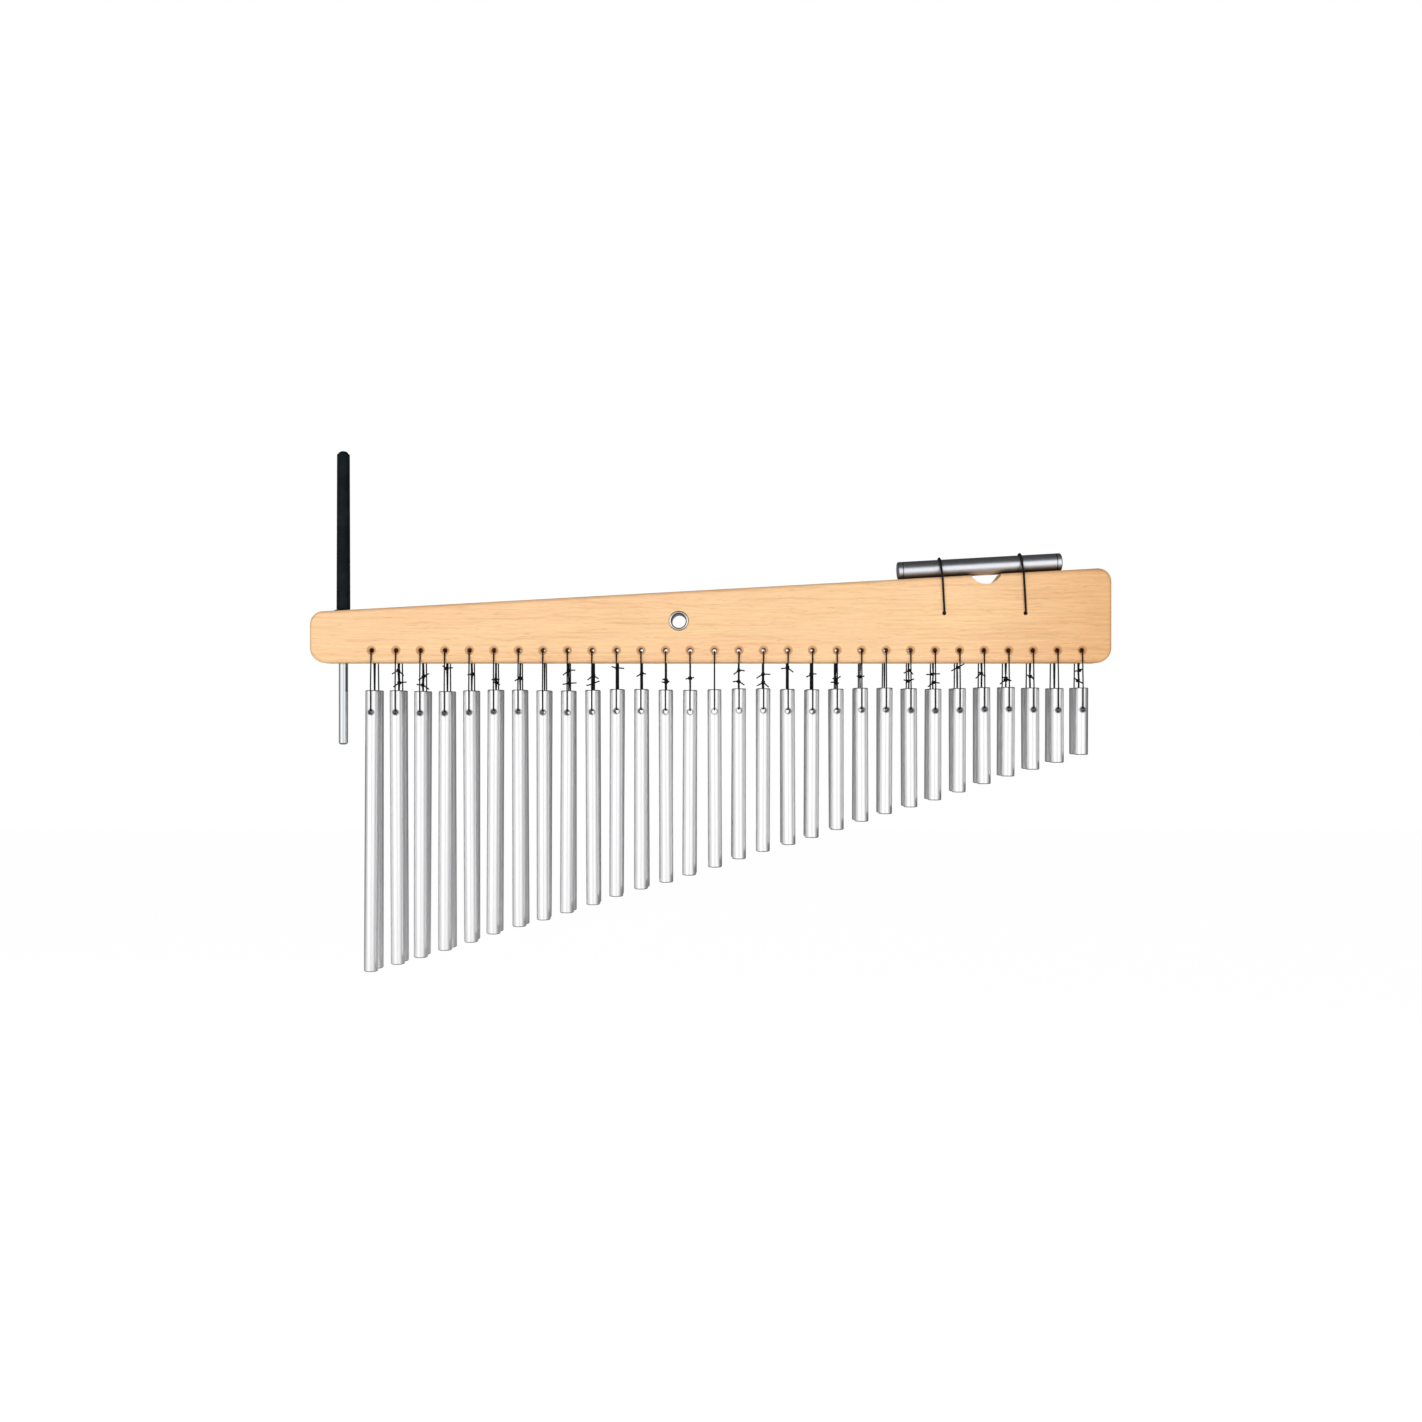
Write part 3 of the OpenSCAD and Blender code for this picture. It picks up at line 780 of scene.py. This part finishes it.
def drawnMetalFinish(name, look):
    # Metal drawn through a die: fine lines along its length, a soft band of light, dull edges
    # with painted shade on them, and painted shade where it rests on something. The lines are
    # coarser than real ones, which would be too fine to show.
    finish, tree, output, place = newFinish(name)
    size = [look["streak"] if axis == look["along"] else look["line"] for axis in "XYZ"]
    lines = streaks(tree, place, size, 3.0)
    smudges = put(
        tree, "TexNoise", {"Vector": place, "Scale": 1 / (look["smudge"] * mm), "Detail": 3.0}
    )
    both = put(
        tree, "Mix", {"Factor": 0.5, "A": lines, "B": smudges.outputs["Fac"]}, data_type="FLOAT"
    )
    gloss = put(
        tree, "MapRange",
        {
            "Value": both.outputs["Result"], "From Min": 0.3, "From Max": 0.7,
            "To Min": look["roughness"][0], "To Max": look["roughness"][1],
        },
    )
    relief = put(tree, "Bump", {"Height": lines, "Strength": 0.12, "Distance": 0.02 * mm})
    # painted shade: edges, ends and hole walls take the darker edge tone, partly for dull worked metal
    # and partly for the shade and dark reflections there
    dulledAndShaded = put(
        tree, "Mix",
        {
            "Factor": dullAndShadedFaces(tree, place, look), "A": colour(look["metal"]),
            "B": colour(look["edgeShadeTone"]),
        },
        data_type="RGBA",
    )
    # painted contact shade: the metal is darkened where another piece comes near, standing in for the
    # shade that falls there
    clear = put(tree, "AmbientOcclusion", {"Distance": look["contactShadeReach"] * mm}, samples=8)
    contactShade = put(
        tree, "MapRange",
        {"Value": clear.outputs["AO"], "From Min": 0.3, "From Max": 0.9, "To Min": 0.12},
    )
    contactShaded = put(
        tree, "Mix", {"Factor": 1.0, "A": dulledAndShaded.outputs["Result"], "B": contactShade.outputs["Result"]},
        data_type="RGBA", blend_type="MULTIPLY",
    )
    shader = put(
        tree, "BsdfPrincipled",
        {
            "Base Color": contactShaded.outputs["Result"], "Metallic": 1.0,
            "Roughness": gloss.outputs["Result"], "Normal": relief.outputs["Normal"],
        },
    )
    tree.links.new(shader.outputs["BSDF"], output.inputs["Surface"])
    return finish


bars = [name for name in nodes if name.startswith("bars_")]
dress(drawnMetalFinish("drawn_aluminium_bars", barLook), *bars)

chimeLook = {
    "metal": "#eceff5",
    "line": 0.3,
    "streak": 40,
    "smudge": 18,
    "roughness": (0.34, 0.41),
    "along": "X",
    "contactShadeReach": 6,
    "edge": 0.4,
    "edgeShadeTone": "#8b8d92",
}
dress(drawnMetalFinish("drawn_dark_steel", chimeLook), "energy_chime")

rodLook = {
    "metal": "#d8dadc",
    "line": 0.4,
    "streak": 25,
    "smudge": 9,
    "roughness": (0.04, 0.07),
    "along": "Z",
    "contactShadeReach": 1.5,
    "edge": 0.3,
    "edgeShadeTone": "#8b8c90",
}
dress(drawnMetalFinish("polished_steel_rod", rodLook), "beater_rod")

plateLook = {
    "metal": "#e6e3dc",
    "deep": "#1f1f21",  # painted shade where the roll turns into the bore, and at its outer edge
    "reach": 7,  # a little more than the rim's radius
    "inner": (0.29, 0.46),  # the bright ring fades in and out between these shares of the roll
    "outer": (0.78, 0.95),
    "haze": 5,
    "scratch": 0.5,
    "roughness": (0.09, 0.2),
}


def nickelPlateFinish(look, middle):
    # Nickel plate on pressed brass: a bright, slightly warm ring, hazed here and there by
    # handling, with painted shade where the rim rolls into the bore and down to the wood.
    finish, tree, output, place = newFinish("nickel_plate")
    haze = put(tree, "TexNoise", {"Vector": place, "Scale": 1 / (look["haze"] * mm), "Detail": 4.0})
    fine = put(tree, "TexNoise", {"Vector": place, "Scale": 1 / (look["scratch"] * mm), "Detail": 2.0})
    gloss = put(
        tree, "MapRange",
        {
            "Value": haze.outputs["Fac"], "From Min": 0.3, "From Max": 0.7,
            "To Min": look["roughness"][0], "To Max": look["roughness"][1],
        },
    )
    relief = put(
        tree, "Bump", {"Height": fine.outputs["Fac"], "Strength": 0.06, "Distance": 0.02 * mm}
    )
    outward = put(tree, "VectorMath", {0: place, 1: middle}, operation="SUBTRACT")
    across = put(
        tree, "VectorMath", {0: outward.outputs["Vector"], 1: (1, 0, 1)}, operation="MULTIPLY"
    )
    facing = put(tree, "TexCoord").outputs["Normal"]
    rolled = put(
        tree, "VectorMath", {0: across.outputs["Vector"], 1: facing}, operation="DOT_PRODUCT"
    )
    roll = put(
        tree, "MapRange",
        {
            "Value": rolled.outputs["Value"],
            "From Min": -look["reach"] * mm, "From Max": look["reach"] * mm,
        },
    )
    # painted shade: the ring is coloured dark where its surface turns into the bore and down to the
    # wood
    deep, bright = colour(look["deep"]), colour(look["metal"])
    plate = put(
        tree, "ValToRGB", {"Fac": roll.outputs["Result"]},
        [
            (look["inner"][0], deep), (look["outer"][1], deep),
            (look["inner"][1], bright), (look["outer"][0], bright),
        ],
    )
    shader = put(
        tree, "BsdfPrincipled",
        {
            "Base Color": plate.outputs["Color"], "Metallic": 1.0,
            "Roughness": gloss.outputs["Result"], "Normal": relief.outputs["Normal"],
        },
    )
    tree.links.new(shader.outputs["BSDF"], output.inputs["Surface"])
    return finish


eyeletLow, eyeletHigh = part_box("stand_eyelet")
dress(nickelPlateFinish(plateLook, (eyeletLow + eyeletHigh) / 2), "stand_eyelet", "eyelet_washer")
print("metals finished")


# Rubber grip and bush

gripLook = {
    "black": "#101418",
    "worn": "#1a2024",
    "grain": 0.45,
    "patch": 9,
    "roughness": (0.55, 0.68),
}
bushLook = {
    "black": "#121214",
    "worn": "#242427",
    "grain": 0.3,
    "patch": 4,
    "roughness": (0.42, 0.6),
}


def mouldedRubberFinish(name, look):
    # Moulded rubber: near black and slightly blue, matt, with a fine grain from the mould, which
    # is drawn coarser than the real one so that it shows.
    finish, tree, output, place = newFinish(name)
    grain = put(tree, "TexNoise", {"Vector": place, "Scale": 1 / (look["grain"] * mm), "Detail": 3.0})
    patches = put(tree, "TexNoise", {"Vector": place, "Scale": 1 / (look["patch"] * mm), "Detail": 3.0})
    tint = put(
        tree, "ValToRGB", {"Fac": patches.outputs["Fac"]},
        [(0.35, colour(look["black"])), (0.75, colour(look["worn"]))],
    )
    gloss = put(
        tree, "MapRange",
        {
            "Value": patches.outputs["Fac"], "From Min": 0.3, "From Max": 0.7,
            "To Min": look["roughness"][0], "To Max": look["roughness"][1],
        },
    )
    relief = put(
        tree, "Bump", {"Height": grain.outputs["Fac"], "Strength": 0.3, "Distance": 0.05 * mm}
    )
    shader = put(
        tree, "BsdfPrincipled",
        {
            "Base Color": tint.outputs["Color"], "Roughness": gloss.outputs["Result"],
            "IOR": 1.5, "Specular IOR Level": 0.08, "Normal": relief.outputs["Normal"],
        },
    )
    tree.links.new(shader.outputs["BSDF"], output.inputs["Surface"])
    return finish


dress(mouldedRubberFinish("grip_rubber", gripLook), "beater_grip")
dress(mouldedRubberFinish("bush_rubber", bushLook), "beater_bush")
print("rubber finished")


# Studio: a pale floor far below, white behind, soft lamps, and grey cards that shade the metal

studio = {  # in metres
    "floorZ": -0.75,
    "floorSize": 14,
    "floorShare": 0.85,  # share of the floor that is plain white to the camera, and its strength
    "floorWhite": 1.13,
    "floorGrit": 400.0,
    "sweepRadius": 2.2,
    "sweepLow": -0.74,
    "sweepHigh": 1.0,
    "top": {"grey": 0.05, "size": (4.6, 4.6), "place": (0, 0, 1.02)},
    "low": {"grey": 0.3, "size": (3.0, 2.1), "place": (0, -0.2, -0.7)},
    "worldGrey": 0.22,
    "aim": (0.02, 0, -0.05),
}
lamps = [  # name, power, size and place
    ("key_lamp", 26.8, (1.6, 1.2), (-0.9, -2.05, 0.35)),
    ("fill_lamp", 17, (1.6, 1.4), (1.2, -1.9, -0.05)),
    ("back_lamp", 20, (1.8, 1.2), (0.5, 2.1, 0.5)),
]
sweepGreys = [  # share of a turn from the front, by the left and the back, and the brightness there
    (0.0, 0.6), (0.012, 0.75), (0.03, 1.15), (0.08, 1.5), (0.12, 1.35), (0.16, 0.98), (0.215, 0.66),
    (0.26, 0.3), (0.34, 0.17), (0.5, 0.24), (0.66, 0.12), (0.76, 0.15), (0.8, 0.42), (0.84, 0.62),
    (0.87, 1.15), (0.96, 1.3), (0.985, 0.75), (1.0, 0.6),
]


def seenDirectly(tree):  # 1 for what is seen, also in metal or through glass, and 0 for light
    ray = put(tree, "LightPath").outputs
    seen = ray["Is Camera Ray"]
    for kind in ("Is Glossy Ray", "Is Transmission Ray"):
        seen = put(tree, "Math", {0: seen, 1: ray[kind]}, operation="MAXIMUM").outputs["Value"]
    return seen


def paleFloorFinish(s):
    # Matt white paper: shows as white, and still takes the object's soft shadow.
    finish, tree, output, place = newFinish("pale_floor")
    share = put(tree, "Math", {0: seenDirectly(tree), 1: s["floorShare"]}, operation="MULTIPLY")
    grit = put(tree, "TexNoise", {"Vector": place, "Scale": s["floorGrit"], "Detail": 2.0})
    paper = put(
        tree, "ValToRGB", {"Fac": grit.outputs["Fac"]},
        [(0.3, colour("#f4f4f4")), (0.7, colour("#ffffff"))],
    )
    matt = put(tree, "BsdfDiffuse", {"Color": paper.outputs["Color"]})
    white = put(tree, "Emission", {"Color": colour("#ffffff"), "Strength": s["floorWhite"]})
    mixed = put(
        tree, "MixShader",
        {0: share.outputs["Value"], 1: matt.outputs["BSDF"], 2: white.outputs["Emission"]},
    )
    tree.links.new(mixed.outputs["Shader"], output.inputs["Surface"])
    return finish


def sweepFinish(greys):
    # Paper wrapped round the object, seen only in metal: white to both sides of the front, grey
    # between them, and dark grey behind.
    finish, tree, output, place = newFinish("grey_sweep")
    across = put(tree, "SeparateXYZ", {"Vector": place}).outputs
    turn = put(tree, "Math", {0: across["X"], 1: across["Y"]}, operation="ARCTAN2")
    share = put(
        tree, "MapRange",
        {"Value": turn.outputs["Value"], "From Min": -math.pi, "From Max": math.pi},
    )
    brightest = max(g for t, g in greys)
    stops = [(t, (g / brightest, g / brightest, g / brightest, 1)) for t, g in greys]
    shade = put(tree, "ValToRGB", {"Fac": share.outputs["Result"]}, stops)
    glow = put(tree, "Emission", {"Color": shade.outputs["Color"], "Strength": brightest})
    tree.links.new(glow.outputs["Emission"], output.inputs["Surface"])
    return finish


def cardFinish(name, grey):  # an even glow, seen only in metal
    finish, tree, output, _ = newFinish(name)
    glow = put(tree, "Emission", {"Color": (grey, grey, grey, 1), "Strength": 1.0})
    tree.links.new(glow.outputs["Emission"], output.inputs["Surface"])
    return finish


def flatCard(name, size, finish, place):
    made = bmesh.new()
    bmesh.ops.create_grid(made, x_segments=1, y_segments=1, size=0.5)
    bmesh.ops.scale(made, verts=made.verts, vec=(size[0], size[1], 1))
    shape = bpy.data.meshes.new(name)
    made.to_mesh(shape)
    made.free()
    shape.materials.append(finish)
    card = bpy.data.objects.new(name, shape)
    card.location = place
    bpy.context.scene.collection.objects.link(card)
    return card


def roundSweep(name, radius, low, high, finish):  # an open cylinder that faces inwards
    made = bmesh.new()
    bmesh.ops.create_cone(
        made, cap_ends=False, segments=96, radius1=radius, radius2=radius, depth=high - low
    )
    bmesh.ops.translate(made, verts=made.verts, vec=(0, 0, (high + low) / 2))
    bmesh.ops.reverse_faces(made, faces=made.faces)
    shape = bpy.data.meshes.new(name)
    made.to_mesh(shape)
    made.free()
    shape.materials.append(finish)
    sweep = bpy.data.objects.new(name, shape)
    bpy.context.scene.collection.objects.link(sweep)
    return sweep


def softLamp(name, power, size, place, aim):
    lamp = bpy.data.lights.new(name, "AREA")
    lamp.shape = "RECTANGLE"
    lamp.size, lamp.size_y = size
    lamp.energy = power
    holder = bpy.data.objects.new(name, lamp)
    holder.location = place
    holder.rotation_euler = (Vector(aim) - Vector(place)).to_track_quat("-Z", "Y").to_euler()
    holder.visible_glossy = False
    bpy.context.scene.collection.objects.link(holder)


def lightStudio(s):
    flatCard("floor", (s["floorSize"], s["floorSize"]), paleFloorFinish(s), (0, 0, s["floorZ"]))
    top, low = s["top"], s["low"]
    sweepPaper = sweepFinish(sweepGreys)
    cards = [
        roundSweep("sweep", s["sweepRadius"], s["sweepLow"], s["sweepHigh"], sweepPaper),
        flatCard("card_top", top["size"], cardFinish("dark_card", top["grey"]), top["place"]),
        flatCard("card_low", low["size"], cardFinish("low_card", low["grey"]), low["place"]),
    ]
    for card in cards:  # seen only in the metal
        card.visible_camera = False
        card.visible_diffuse = False
        card.visible_shadow = False
    for name, power, size, place in lamps:
        softLamp(name, power, size, place, s["aim"])
    world = bpy.data.worlds.new("studio")
    world.use_nodes = True
    tree = world.node_tree
    tree.nodes.clear()
    grey = s["worldGrey"]
    soft = put(tree, "Background", {"Color": (grey, grey, grey, 1), "Strength": 1.0})
    white = put(tree, "Background", {"Color": (1, 1, 1, 1), "Strength": 1.0})
    mixed = put(
        tree, "MixShader",
        {0: seenDirectly(tree), 1: soft.outputs["Background"], 2: white.outputs["Background"]},
    )
    put(tree, "OutputWorld", {"Surface": mixed.outputs["Shader"]})
    bpy.context.scene.world = world


lightStudio(studio)
print("studio lit")
